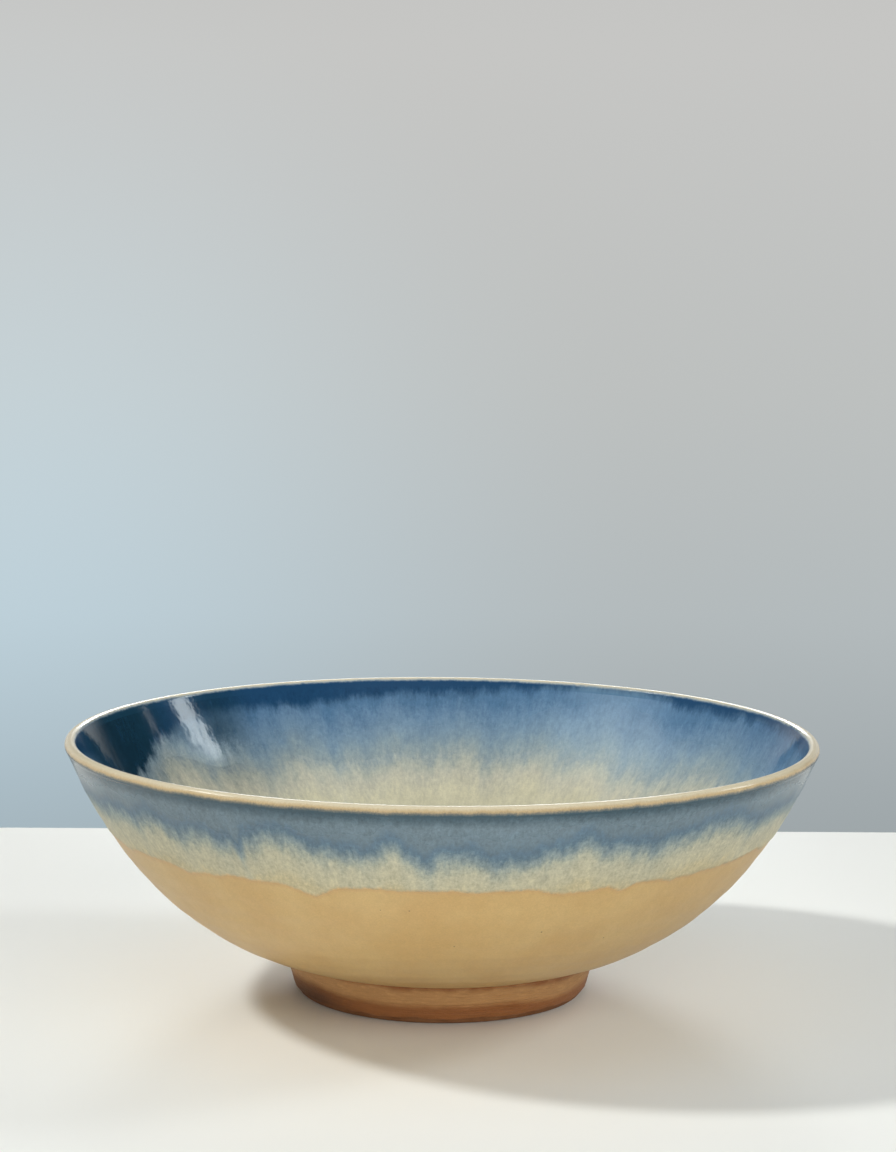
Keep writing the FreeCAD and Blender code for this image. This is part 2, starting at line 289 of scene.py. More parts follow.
def throwing_rings(down, azimuth, seed):
    """The low spiral ridges that fingers leave in a thrown wall."""
    spiral = down / RIDGE_PITCH + azimuth / 360 + 0.12 * waves(azimuth, seed, 2, 5, 4)
    wider = down / SWELL_PITCH - azimuth / 360
    return RIDGE_HEIGHT * np.sin(2 * math.pi * spiral) + SWELL_HEIGHT * np.sin(2 * math.pi * wider)


def outside_lift(down, azimuth):
    """How far the outside stands off the even form."""
    rings = throwing_rings(down, azimuth, 21) * smooth_step(2 * MM, 14 * MM, down)
    rings = rings * smooth_step(0, 8 * MM, OUTSIDE.junction - down)
    edge = outer_cream_edge(azimuth) - down
    bead = BEAD_HEIGHT * smooth_step(-0.4 * MM, 1.8 * MM, edge) * smooth_step(2 * MM, 16 * MM, down)
    roll = ROLL_HEIGHT * np.exp(-(((edge - ROLL_PLACE) / ROLL_WIDTH) ** 2))
    roll = roll * smooth_step(0, 1.6 * MM, edge)
    streaks = OUTSIDE_STREAK * waves(azimuth, 22, 60, 200, 30, 0.6)
    runny = smooth_step(6 * MM, 18 * MM, down) * smooth_step(0, 3 * MM, edge)
    return rings + bead + roll + streaks * runny - OUTSIDE_SET_BACK * smooth_step(0, 6 * MM, down)


def inside_lift(down, azimuth):
    """How far the inside stands off the even form."""
    rings = INSIDE_SMOOTHED * throwing_rings(down, azimuth, 31) * smooth_step(3 * MM, 16 * MM, down)
    rings = rings * smooth_step(0, 60 * MM, INSIDE.length - down)
    streaks = INSIDE_STREAK * waves(azimuth, 32, 60, 200, 30, 0.6)
    runny = smooth_step(6 * MM, 20 * MM, down) * smooth_step(40 * MM, 120 * MM, INSIDE.length - down)
    return rings + streaks * runny


def on_circle(azimuth, r, z):
    """Points from azimuth in degrees, radius and height."""
    turn = np.radians(azimuth)
    return np.stack([r * np.cos(turn), r * np.sin(turn), z], axis=-1)


def surface(along, azimuth, depth=0.0):
    """Points of the fired surface, or of the layer at some depth below it."""
    r, z, normal_r, normal_z = profile(along)
    lift = np.where(along > 0, 0.0, outside_lift(np.maximum(-along, 0), azimuth))
    down = np.maximum(along - LIP_LENGTH, 0)
    lift = np.where(along > LIP_LENGTH, inside_lift(down, azimuth), lift) - depth
    return on_circle(azimuth, r + lift * normal_r, z + lift * normal_z)


# ------------------------------------------------------------------ meshes


def surface_normals(along, azimuth):
    """Normals of the fired surface, so that coats meet without a seam in the shading."""
    step = NORMAL_STEP
    turn = NORMAL_TURN
    along_it = surface(along + step, azimuth) - surface(along - step, azimuth)
    round_it = surface(along, azimuth + turn) - surface(along, azimuth - turn)
    normals = np.cross(round_it, along_it)
    return normals / np.linalg.norm(normals, axis=-1, keepdims=True)


def ring_corners(rows, capped):
    """The row and column of each corner of each face, in a list of quads and one of triangles.

    Each row of points is a ring round the axis.  The last row joins the first,
    unless the chain is capped by a point on the axis at both ends.
    """
    row, column = np.meshgrid(np.arange(rows - capped), np.arange(COLUMNS), indexing="ij")
    row, column = row.ravel(), column.ravel()
    quads = (
        np.stack([row, row + 1, row + 1, row], axis=-1),
        np.stack([column, column, column + 1, column + 1], axis=-1),
    )
    if not capped:
        return [quads]
    column, edge = np.arange(COLUMNS), np.zeros(COLUMNS, int)
    first = (
        np.stack([edge - 1, edge, edge], axis=-1),
        np.stack([column, column, column + 1], axis=-1),
    )
    last = (
        np.stack([edge + rows - 1, edge + rows, edge + rows - 1], axis=-1),
        np.stack([column, column, column + 1], axis=-1),
    )
    return [quads, first, last]


def bake_map(mesh, corners, seen, tiles):
    """A UV map in tiles, each a part of the ring, so that a bake keeps the glaze's grain."""
    across, down = tiles
    share = COLUMNS // (across * down)
    wide, high = 1 / across - 2 * BAKE_MARGIN, 1 / down - 2 * BAKE_MARGIN
    spots = []
    for rows, columns in corners:
        tile = columns[:, :1] // share
        u = tile % across / across + BAKE_MARGIN + wide * (columns - tile * share) / share
        v = tile // across / down + BAKE_MARGIN + high * np.clip(rows / (seen - 1), 0, 1)
        spots.append(np.stack([u, v], axis=-1).reshape(-1, 2))
    mesh.uv_layers.new(name="OFBake").uv.foreach_set("vector", np.concatenate(spots).ravel())


def ring_object(name, rings, seen, capped=False, normals=None, tiles=(3, 4)):
    """A closed piece made of rings of points round the axis, on body root.

    The first rings, as many as seen says, are the face that shows.
    """
    rows = len(rings)
    corners = ring_corners(rows, capped)
    points = rings.reshape(-1, 3)
    if capped:
        points = np.concatenate([points, [rings[0].mean(axis=0)], [rings[-1].mean(axis=0)]])
    faces = []
    for face_rows, face_columns in corners:
        index = face_rows % rows * COLUMNS + face_columns % COLUMNS
        if capped:
            index = np.where(face_rows < 0, rows * COLUMNS, index)
            index = np.where(face_rows == rows, rows * COLUMNS + 1, index)
        faces.append(index)
    mesh = bpy.data.meshes.new(name)
    mesh.from_pydata(points.tolist(), [], [face for part in faces for face in part.tolist()])
    mesh.shade_smooth()
    mesh.set_sharp_from_angle(angle=SHARP_EDGE)
    if normals is not None:
        kept = np.zeros((len(points), 3))
        kept[: seen * COLUMNS] = normals.reshape(-1, 3)
        shown = [kept[index] * (face_rows < seen).all(axis=1)[:, None, None]
                 for index, (face_rows, face_columns) in zip(faces, corners)]
        mesh.normals_split_custom_set(np.concatenate([s.reshape(-1, 3) for s in shown]).tolist())
    bake_map(mesh, corners, seen, tiles)
    piece = bpy.data.objects.new(name, mesh)
    bpy.context.scene.collection.objects.link(piece)
    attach(piece, "root")
    return piece


def give(piece, name, values):
    """Stores one number or vector for each point of a piece, for its material to read."""
    points = len(piece.data.vertices)
    flat = values.reshape(-1, 3) if values.ndim > 2 else values.reshape(-1, 1)
    if len(flat) < points:
        flat = np.concatenate([flat, [flat[:COLUMNS].mean(axis=0)], [flat[-COLUMNS:].mean(axis=0)]])
    vector = values.ndim > 2
    stored = piece.data.attributes.new(name, "FLOAT_VECTOR" if vector else "FLOAT", "POINT")
    stored.data.foreach_set("vector" if vector else "value", flat.ravel())


def give_flow(piece, down):
    """Stores the place on the unrolled ring, which the glaze's streaks follow."""
    turn = np.radians(np.broadcast_to(AZIMUTHS, down.shape))
    give(piece, "flow", np.stack([RIM_RADIUS * np.cos(turn), RIM_RADIUS * np.sin(turn), down], axis=-1))
    give(piece, "down", down)


def finish_piece(piece, node, material):
    """Gives a piece its material and hides its CAD node."""
    piece.data.materials.append(material)
    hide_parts(node)


def coat(name, high, low, rows, tiles, capped=False):
    """One coat of glaze, a thin closed shell between two lines round the bowl.

    high and low are distances along the profile at each azimuth.
    """
    seen = low + (high - low) * np.linspace(1, 0, rows)[:, None]
    hidden = low + (high - low) * np.linspace(0, 1, HIDDEN_ROWS)[:, None]
    along = np.concatenate([seen, hidden])
    azimuth = np.broadcast_to(AZIMUTHS, along.shape)
    rings = surface(along, azimuth)
    rings[rows:] = surface(hidden, azimuth[rows:], GLAZE)
    piece = ring_object(name, rings, rows, capped, surface_normals(seen, azimuth[:rows]), tiles)
    inside = along > LIP_LENGTH / 2
    down = np.where(inside, along - LIP_LENGTH, -along)
    blue_edge = np.where(inside, inner_blue_edge(AZIMUTHS), outer_blue_edge(AZIMUTHS))
    give_flow(piece, down)
    give(piece, "past_blue", down - blue_edge)
    give(piece, "past_cream", down - outer_cream_edge(AZIMUTHS))
    give(piece, "past_line", down - inner_line_edge(AZIMUTHS))
    give(piece, "dark_and_sheen", np.broadcast_to(lobes(AZIMUTHS, INNER_DARK_AND_SHEEN), down.shape))
    give(piece, "over", along)
    return piece


def outline_rings(corners, gap):
    """Rings from the (radius, height) corners of a section, with points no further than gap apart."""
    chain = []
    for (r0, z0), (r1, z1) in zip(corners, corners[1:]):
        steps = max(1, math.ceil(math.hypot(r1 - r0, z1 - z0) / gap))
        for share in np.linspace(0, 1, steps, endpoint=False):
            chain.append((r0 + (r1 - r0) * share, z0 + (z1 - z0) * share))
    return np.array(chain + [corners[-1]])


def rounding(centre, reach, start, end, steps=8):
    """Corners along a small arc, from one angle to another, in degrees."""
    angles = np.radians(np.linspace(start, end, steps))
    return [(centre[0] + reach * math.cos(a), centre[1] + reach * math.sin(a)) for a in angles]


# -------------------------------------------------------------------- foot

FOOT_BASE_RADIUS = 69.2 * MM
FOOT_INSIDE_BASE = 60.5 * MM
FOOT_INSIDE_TOP = 57.0 * MM
FOOT_ROUND = 1.6 * MM
RECESS_HEIGHT = float(OUTSIDE.point(np.array(OUTSIDE.length))[1])
WASH = 0.4 * MM
WASH_STOP = 2.4 * MM
WASH_RAGGED = 0.25 * MM
WASH_FEATHER = 0.3 * MM
TURNING_HEIGHT = 0.05 * MM
SPIRAL_PITCH = 2.6 * MM
SPIRAL_HEIGHT = 0.10 * MM
FOOT_POINT_GAP = 0.6 * MM
# How much darker the foot's lower part is, or paler where the share is negative:
# azimuth, half width, share. The front-left lobe is painted shade, the front-right one painted light
FOOT_SHADE_AND_TONE = ((212, 22, 0.75), (320, 20, -0.7), (60, 30, 0.5), (130, 16, 0.4))


def foot_lean():
    """The junction under the belly and the lean of the foot's side, as in the CAD model."""
    r, z, slope = OUTSIDE.point(np.array(OUTSIDE.junction))
    return float(r), float(z), math.atan((float(r) - WASH - FOOT_BASE_RADIUS) / float(z))


JUNCTION_RADIUS, JUNCTION_HEIGHT, FOOT_LEAN = foot_lean()


def foot_side(height):
    """Radius of the wash's outer face at a height."""
    return FOOT_BASE_RADIUS + WASH + height * math.tan(FOOT_LEAN)


def turning(height, azimuth, seed):
    """Fine ridges that the trimming tool leaves, a little uneven round the turn."""
    lines = waves(height / (0.1 * MM), seed, 6, 60, 12, 0.4)
    return TURNING_HEIGHT * lines * (1 + 0.4 * waves(azimuth, seed + 1, 1, 5, 5))


def foot_wash_piece():
    """The brown wash brushed round the foot's side."""
    rows = 56
    top = JUNCTION_HEIGHT + 0.2 * MM
    bottom = WASH_STOP + WASH_RAGGED * (1 + waves(AZIMUTHS, 51, 5, 40, 12))
    seen = top + (bottom - top) * np.linspace(0, 1, rows)[:, None]
    hidden = bottom + (top - bottom) * np.linspace(0, 1, HIDDEN_ROWS)[:, None]
    heights = np.concatenate([seen, hidden])
    lift = turning(heights, AZIMUTHS, 52) * smooth_step(0, 1 * MM, JUNCTION_HEIGHT - heights)
    radii = foot_side(heights) + lift
    radii[rows:] = foot_side(hidden) - WASH
    thin = smooth_step(0, 0.8 * MM, seen - bottom)
    radii[:rows] -= WASH_FEATHER * (1 - thin)
    rings = on_circle(np.broadcast_to(AZIMUTHS, heights.shape), radii, heights)
    piece = ring_object("foot_wash_coat", rings, rows, tiles=(2, 5))
    give_flow(piece, JUNCTION_HEIGHT - heights)
    give(piece, "foot_shade_and_tone", np.broadcast_to(lobes(AZIMUTHS, FOOT_SHADE_AND_TONE), heights.shape))
    return piece


def foot_piece():
    """The clay foot, with its rounded standing edge."""
    lean = math.degrees(FOOT_LEAN)
    in_lean = math.degrees(math.atan((FOOT_INSIDE_BASE - FOOT_INSIDE_TOP) / RECESS_HEIGHT))
    outer_centre = (FOOT_BASE_RADIUS - FOOT_ROUND * math.tan(math.radians(45 + lean / 2)), FOOT_ROUND)
    inner_centre = (FOOT_INSIDE_BASE + FOOT_ROUND * math.tan(math.radians(45 + in_lean / 2)), FOOT_ROUND)
    corners = [(foot_side(JUNCTION_HEIGHT) - WASH, JUNCTION_HEIGHT)]
    corners += rounding(outer_centre, FOOT_ROUND, -lean, -90)
    corners += rounding(inner_centre, FOOT_ROUND, -90, -180 + in_lean)
    corners += [(FOOT_INSIDE_TOP, RECESS_HEIGHT), (FOOT_INSIDE_TOP, RECESS_HEIGHT + 0.5 * MM)]
    chain = outline_rings(corners, FOOT_POINT_GAP)
    rings = on_circle(AZIMUTHS, np.repeat(chain[:, :1], COLUMNS, 1), np.repeat(chain[:, 1:], COLUMNS, 1))
    piece = ring_object("clay_foot", rings, len(chain), tiles=(2, 5))
    give_flow(piece, JUNCTION_HEIGHT - rings[..., 2])
    radius = np.hypot(rings[..., 0], rings[..., 1])
    give(piece, "edge", 0.55 * smooth_step(FOOT_BASE_RADIUS - 4 * MM, FOOT_BASE_RADIUS - MM, radius))
    return piece


def clay_piece():
    """The clay bowl.  Only its underside shows, trimmed in a spiral inside the foot."""
    high = LIP_LENGTH + INSIDE.length - AXIS_GAP
    covered = np.linspace(high, -OUTSIDE.junction, 60)
    bare = np.linspace(OUTSIDE.junction, OUTSIDE.length - AXIS_GAP, 70)
    azimuth = np.broadcast_to(AZIMUTHS, (len(covered), COLUMNS))
    upper = surface(np.repeat(covered[:, None], COLUMNS, 1), azimuth, GLAZE)
    r, z, slope = OUTSIDE.point(bare)
    spiral = r[:, None] / SPIRAL_PITCH + AZIMUTHS / 360
    trimmed = SPIRAL_HEIGHT * np.abs(np.sin(math.pi * spiral)) * smooth_step(4 * MM, 9 * MM, r)[:, None]
    lower = on_circle(
        np.broadcast_to(AZIMUTHS, trimmed.shape),
        np.repeat(r[:, None], COLUMNS, 1),
        z[:, None] + trimmed,
    )
    rings = np.concatenate([upper, lower])
    piece = ring_object("clay_bowl", rings, len(rings), capped=True, tiles=(6, 2))
    give_flow(piece, np.repeat(np.concatenate([-covered, bare])[:, None], COLUMNS, 1))
    return piece


# --------------------------------------------------------------- materials

GLASS_IOR = 1.5
BRIGHTEST = 0.9


def paint(red, green, blue, lit=1.0):
    """A surface colour from its display values, 0 to 255, where the light has the strength lit."""
    values = np.array([red, green, blue]) / 255
    linear = np.where(values < 0.04045, values / 12.92, ((values + 0.055) / 1.055) ** 2.4)
    return (*np.minimum(linear / lit, BRIGHTEST), 1.0)


class Nodes:
    """A node tree, built from short calls that each add a node."""

    def __init__(self, tree):
        self.tree = tree

    def add(self, kind, inputs, **settings):
        node = self.tree.nodes.new(kind)
        for name, value in settings.items():
            setattr(node, name, value)
        for key, value in inputs.items():
            self.put(node.inputs[key], value)
        return node

    def put(self, socket, value):
        if isinstance(value, bpy.types.NodeSocket):
            self.tree.links.new(value, socket)
        else:
            socket.default_value = value

    def math(self, operation, *values):
        return self.add("ShaderNodeMath", dict(enumerate(values)), operation=operation).outputs[0]

    def sum(self, *values):
        total = values[0]
        for value in values[1:]:
            total = self.math("ADD", total, value)
        return total

    def times(self, *values):
        total = values[0]
        for value in values[1:]:
            total = self.math("MULTIPLY", total, value)
        return total

    def weighted(self, *terms):
        """The sum of terms, each a value and its weight."""
        return self.sum(*(self.times(value, weight) for value, weight in terms))

    def number(self, name):
        return self.add("ShaderNodeAttribute", {}, attribute_name=name).outputs["Fac"]

    def vector(self, name, stretch=(1, 1, 1)):
        read = self.add("ShaderNodeAttribute", {}, attribute_name=name).outputs["Vector"]
        return self.add("ShaderNodeVectorMath", {0: read, 1: stretch}, operation="MULTIPLY").outputs[0]

    def place(self):
        return self.add("ShaderNodeTexCoord", {}).outputs["Object"]

    def noise(self, vector, grain, detail=2.0, roughness=0.5):
        """Noise from about -1 to 1, with features of about grain metres."""
        inputs = {"Vector": vector, "Scale": 1 / grain, "Detail": detail, "Roughness": roughness}
        even = self.add("ShaderNodeTexNoise", inputs).outputs["Fac"]
        return self.math("MULTIPLY_ADD", even, 4.0, -2.0)

    def step(self, value, low, high):
        """0 below low, 1 above high, smooth between."""
        inputs = {"Value": value, "From Min": low, "From Max": high}
        return self.add("ShaderNodeMapRange", inputs, interpolation_type="SMOOTHSTEP").outputs[0]

    def mix(self, share, first, second, blend="MIX"):
        """The first colour, given way to the second (or multiplied by it) by a share."""
        inputs = {"Fac": share, "Color1": first, "Color2": second}
        return self.add("ShaderNodeMixRGB", inputs, blend_type=blend).outputs[0]

    def shade(self, colour, amount):
        """The colour made lighter or darker by a share of itself."""
        factor = self.math("ADD", amount, 1.0)
        return self.add("ShaderNodeVectorMath", {0: colour, "Scale": factor}, operation="SCALE").outputs[0]

    def ramp(self, value, stops):
        """A colour read off a row of (distance, colour) stops."""
        low, high = stops[0][0], stops[-1][0]
        share = self.add("ShaderNodeMapRange", {"Value": value, "From Min": low, "From Max": high}).outputs[0]
        node = self.add("ShaderNodeValToRGB", {"Fac": share})
        bands = node.color_ramp.elements
        bands.remove(bands[1])
        for number, (distance, colour) in enumerate(stops):
            spot = (distance - low) / (high - low)
            band = bands[0] if number == 0 else bands.new(spot)
            band.position, band.color = spot, colour
        return node.outputs["Color"]


class Finish(Nodes):
    """The nodes of one material."""

    def __init__(self, name):
        self.material = bpy.data.materials.new(name)
        self.material.use_nodes = True
        super().__init__(self.material.node_tree)
        self.shader = self.tree.nodes["Principled BSDF"]

    def bump(self, height, distance):
        """Relief from a height of about -1 to 1, in metres of distance."""
        inputs = {"Height": height, "Distance": distance, "Strength": 1.0}
        self.put(self.shader.inputs["Normal"], self.add("ShaderNodeBump", inputs).outputs[0])

    def done(self, colour, roughness):
        """Sets the shader's colour, roughness and refraction, and gives the material."""
        self.put(self.shader.inputs["Base Color"], colour)
        self.put(self.shader.inputs["Roughness"], roughness)
        self.shader.inputs["IOR"].default_value = GLASS_IOR
        return self.material


# Colours as they look under the studio light, over how brightly that side is lit
OUT_LIT = 0.94
IN_LIT = 0.84
LIP_CREAM = paint(203, 193, 166, 0.95)
LIP_TAN = paint(182, 160, 122, 0.9)
LIP_SHADE = paint(104, 106, 98, 0.9)
TEAL = paint(52, 76, 88, OUT_LIT)
TAN_LIGHT = paint(197, 167, 113, OUT_LIT)
TAN_DARK = paint(191, 157, 102, OUT_LIT)
ORANGE = paint(188, 152, 104, OUT_LIT)
OCHRE = paint(146, 109, 68, 0.62)
TOAST = paint(108, 67, 34, 0.54)
WASH_LIGHT = paint(160, 126, 84, 0.60)
# Dark brown, for the foot's painted shade and the clay's lower edge
DARK_BROWN = paint(62, 37, 22, 0.6)
CLAY = paint(176, 124, 78)
PIT = paint(70, 52, 36)
COBALT = paint(62, 96, 132, IN_LIT)
NAVY = paint(30, 66, 100, IN_LIT)
# Grey-blue for the painted sheen on the right of the inside
SHEEN_GREY = paint(140, 157, 168, IN_LIT)
# Deep cobalt, made darker still as painted shade on the left of the inside
MIDNIGHT = paint(22, 55, 74, IN_LIT)

# The glaze's colours by distance past the line where blue gives way to cream
OUTER_BANDS = (
    (-17 * MM, paint(104, 122, 132, OUT_LIT)),
    (-9 * MM, paint(100, 119, 130, OUT_LIT)),
    (-5 * MM, paint(86, 109, 126, OUT_LIT)),
    (-3 * MM, paint(90, 114, 129, OUT_LIT)),
    (1.8 * MM, paint(128, 142, 142, OUT_LIT)),
    (7 * MM, paint(166, 167, 149, OUT_LIT)),
    (10 * MM, paint(176, 173, 150, OUT_LIT)),
    (18 * MM, paint(182, 176, 148, OUT_LIT)),
    (23 * MM, paint(184, 173, 138, OUT_LIT)),
)
INNER_BANDS = (
    (-28 * MM, paint(76, 110, 142, IN_LIT)),
    (-20 * MM, paint(94, 124, 152, IN_LIT)),
    (-10 * MM, paint(110, 136, 157, IN_LIT)),
    (-2 * MM, paint(124, 144, 155, IN_LIT)),
    (6 * MM, paint(140, 152, 153, IN_LIT)),
    (12 * MM, paint(160, 165, 155, IN_LIT)),
    (19 * MM, paint(174, 173, 157, IN_LIT)),
    (30 * MM, paint(186, 182, 157, IN_LIT)),
    (160 * MM, paint(194, 187, 156, IN_LIT)),
)


def streaks(finish):
    """Fine and broad streaks that run down the glaze, clouds in it, and its even grain."""
    fine = finish.noise(finish.vector("flow", (1, 1, 0.42)), 1.5 * MM, 4.0, 0.7)
    broad = finish.noise(finish.vector("flow", (1, 1, 0.5)), 7 * MM, 5.0, 0.65)
    cloud = finish.noise(finish.vector("flow", (1, 1, 0.8)), 20 * MM, 4.0, 0.6)
    grain = finish.noise(finish.place(), 0.9 * MM, 2.0, 0.8)
    return fine, broad, cloud, grain


def outer_bands(finish):
    """Blue under the lip, broken and streaked out into cream."""
    fine, broad, cloud, grain = streaks(finish)
    speckle = finish.noise(finish.place(), 2.2 * MM, 3.0, 0.75)
    wander = finish.weighted((fine, 0.9 * MM), (broad, 3.2 * MM), (cloud, 2.0 * MM))
    past = finish.sum(finish.number("past_blue"), wander, finish.times(speckle, 1.2 * MM))
    colour = finish.ramp(past, OUTER_BANDS)
    down = finish.sum(
        finish.number("down"), finish.times(broad, 0.5 * MM), finish.times(speckle, 0.4 * MM)
    )
    colour = finish.mix(finish.step(down, 7 * MM, -1 * MM), colour, TEAL)
    thinned = finish.sum(
        finish.number("past_cream"), finish.times(fine, 0.6 * MM), finish.times(speckle, 0.5 * MM)
    )
    colour = finish.mix(finish.times(finish.step(thinned, -2.2 * MM, 0.8 * MM), 0.8), colour, ORANGE)
    tone = finish.weighted((fine, 0.15), (broad, 0.11), (speckle, 0.18), (grain, 0.10))
    return finish.shade(colour, tone)


def cobalt_line(finish, colour, past, fine, broad):
    """The dark line under the lip and the near-black stretches, deep cobalt with painted shade, laid over a
    colour.
    """
    ragged = finish.sum(
        finish.number("past_line"), finish.times(broad, 2.2 * MM), finish.times(fine, 0.8 * MM)
    )
    colour = finish.mix(finish.step(ragged, 4 * MM, -3.5 * MM), colour, NAVY)
    # How dark the blue is: deep cobalt, with painted shade on the left of the inside
    deep_and_shaded = finish.sum(finish.number("dark_and_sheen"), finish.times(broad, 0.10), finish.times(fine, 0.06))
    dark_and_sheen = finish.times(deep_and_shaded, finish.step(past, 5 * MM, -13 * MM))
    streak = finish.step(finish.sum(fine, broad), 0.2, 2.0)
    deepest = finish.mix(finish.times(streak, 0.7), MIDNIGHT, NAVY)
    return finish.mix(finish.step(dark_and_sheen, 0.12, 0.75), colour, deepest)


def inner_bands(finish):
    """A cobalt line under the lip, then blue that streaks out into cream."""
    fine, broad, cloud, grain = streaks(finish)
    speckle = finish.noise(finish.place(), 2.6 * MM, 3.0, 0.75)
    wander = finish.weighted((fine, 1.6 * MM), (broad, 5 * MM), (cloud, 3 * MM))
    past = finish.sum(finish.number("past_blue"), wander, finish.times(speckle, 1.6 * MM))
    colour = finish.ramp(past, INNER_BANDS)
    deep = finish.step(finish.sum(broad, cloud), 0.0, 2.0)
    still_blue = finish.step(past, 2 * MM, -12 * MM)
    colour = finish.mix(finish.times(deep, still_blue, 0.75), colour, COBALT)
    # Painted sheen: pale grey-blue laid over the blue on the right of the inside
    sheen_share = finish.step(finish.number("dark_and_sheen"), -0.05, -0.6)
    colour = finish.mix(finish.times(sheen_share, finish.step(past, 10 * MM, -8 * MM), 0.22), colour, SHEEN_GREY)
    colour = cobalt_line(finish, colour, past, fine, broad)
    run = finish.weighted((fine, 0.12), (broad, 0.10))
    running = finish.times(run, finish.step(finish.number("past_blue"), 60 * MM, 20 * MM))
    pooled = finish.times(finish.noise(finish.place(), 16 * MM, 4.0, 0.6), 0.05)
    # Painted shade on the left of the inside, and painted light where the share is negative
    shadow = finish.times(finish.number("dark_and_sheen"), finish.step(past, 34 * MM, 4 * MM), -0.30)
    tone = finish.sum(running, pooled, shadow, finish.times(speckle, 0.09), finish.times(grain, 0.07))
    return finish.shade(colour, tone)


def blue_and_cream(name, bands):
    """Blue glaze is glassy, and the cream it runs out into is satin."""
    finish = Finish(name)
    peel = finish.noise(finish.place(), 3 * MM, 2.0)
    finish.bump(peel, 0.012 * MM)
    glassy = finish.times(finish.number("dark_and_sheen"), -36 * MM)
    drift = finish.times(finish.noise(finish.place(), 12 * MM, 3.0), 2 * MM)
    satin = finish.step(finish.sum(finish.number("past_blue"), glassy, drift), -26 * MM, 4 * MM)
    rough = finish.math("MULTIPLY_ADD", satin, 0.42, 0.09)
    uneven = finish.times(finish.noise(finish.place(), 9 * MM), 0.015)
    return finish.done(bands(finish), finish.sum(rough, uneven))


def lip_material():
    """Cream that thins over the roll, darker and broken where it meets the blue."""
    finish = Finish("lip_glaze_finish")
    fine, broad, cloud, grain = streaks(finish)
    ragged = finish.weighted((broad, 0.35 * MM), (cloud, 0.3 * MM), (grain, 0.35 * MM))
    over = finish.sum(finish.number("over"), ragged)
    colour = finish.ramp(
        over,
        [
            (0.0, TEAL),
            (1.0 * MM, TEAL),
            (1.9 * MM, LIP_SHADE),
            (2.9 * MM, LIP_TAN),
            (4.6 * MM, LIP_CREAM),
            (7.8 * MM, LIP_CREAM),
            (9.0 * MM, paint(150, 160, 160, IN_LIT)),
            (10.0 * MM, paint(98, 127, 150, IN_LIT)),
            (12.6 * MM, paint(84, 117, 146, IN_LIT)),
        ],
    )
    below = cobalt_line(finish, colour, finish.number("past_blue"), fine, broad)
    colour = finish.mix(finish.step(over, 8.6 * MM, 10.2 * MM), colour, below)
    colour = finish.shade(colour, finish.weighted((fine, 0.03), (grain, 0.04)))
    finish.bump(finish.noise(finish.place(), 2 * MM, 2.0), 0.012 * MM)
    rough = finish.math("MULTIPLY_ADD", finish.step(over, 8.5 * MM, 10.5 * MM), -0.08, 0.17)
    return finish.done(colour, rough)


def tan_material():
    """Satin tan glaze, speckled and with a few small pits."""
    finish = Finish("tan_glaze_finish")
    flow = finish.vector("flow")
    past_cream = finish.number("past_cream")
    cloud = finish.noise(flow, 34 * MM, 3.0, 0.6)
    mottle = finish.noise(flow, 5 * MM, 3.0, 0.6)
    grain = finish.noise(finish.place(), 0.8 * MM, 2.0, 0.7)
    colour = finish.mix(finish.step(cloud, -1.0, 1.0), TAN_DARK, TAN_LIGHT)
    rim = finish.step(finish.sum(past_cream, finish.times(mottle, 0.5 * MM)), 2.6 * MM, -0.4 * MM)
    colour = finish.mix(finish.times(rim, 0.8), colour, ORANGE)
    colour = finish.shade(colour, finish.weighted((mottle, 0.04), (grain, 0.08)))
    cells = finish.add("ShaderNodeTexVoronoi", {"Vector": flow, "Scale": 1 / (15 * MM), "Randomness": 1.0})
    pit = finish.step(cells.outputs["Distance"], 0.045, 0.015)
    colour = finish.mix(finish.times(pit, 0.7), colour, PIT)
    finish.bump(finish.sum(finish.times(grain, 0.5), finish.times(pit, -6.0), mottle), 0.02 * MM)
    return finish.done(colour, 0.38)


def wash_material():
    """Iron wash: ochre above, toasted dark below, in turned lines."""
    finish = Finish("iron_wash_finish")
    down = finish.number("down")
    lines = finish.noise(finish.vector("flow", (0.10, 0.10, 1)), 1.3 * MM, 3.0, 0.6)
    broad = finish.noise(finish.vector("flow", (0.3, 0.3, 1)), 6 * MM, 3.0)
    round_it = finish.noise(finish.vector("flow"), 60 * MM, 2.0)
    grain = finish.noise(finish.place(), 0.8 * MM, 2.0, 0.7)
    shade_and_tone = finish.number("foot_shade_and_tone")
    uneven = finish.weighted((broad, 0.6 * MM), (round_it, 0.9 * MM))
    depth = finish.sum(down, uneven, finish.times(shade_and_tone, 3 * MM))
    # Dark just under the belly, rust with painted shade; ochre in the middle; dark brown low down
    colour = finish.ramp(
        depth,
        [(0, TOAST), (2.6 * MM, OCHRE), (7.5 * MM, OCHRE), (11 * MM, TOAST), (18 * MM, TOAST)],
    )
    streak = finish.step(finish.sum(lines, finish.times(broad, 0.5)), 0.1, 1.6)
    colour = finish.mix(finish.times(streak, finish.step(depth, 10 * MM, 7 * MM), 0.6), colour, WASH_LIGHT)
    # Dark brown low down where the share is high: painted shade on the front-left
    shaded_dark = finish.times(finish.step(shade_and_tone, 0.0, 1.0), finish.step(depth, 7 * MM, 16 * MM))
    colour = finish.mix(shaded_dark, colour, DARK_BROWN)
    colour = finish.shade(colour, finish.weighted((lines, 0.10), (grain, 0.06)))
    finish.bump(finish.sum(lines, finish.times(grain, 0.6)), 0.05 * MM)
    return finish.done(colour, 0.5)


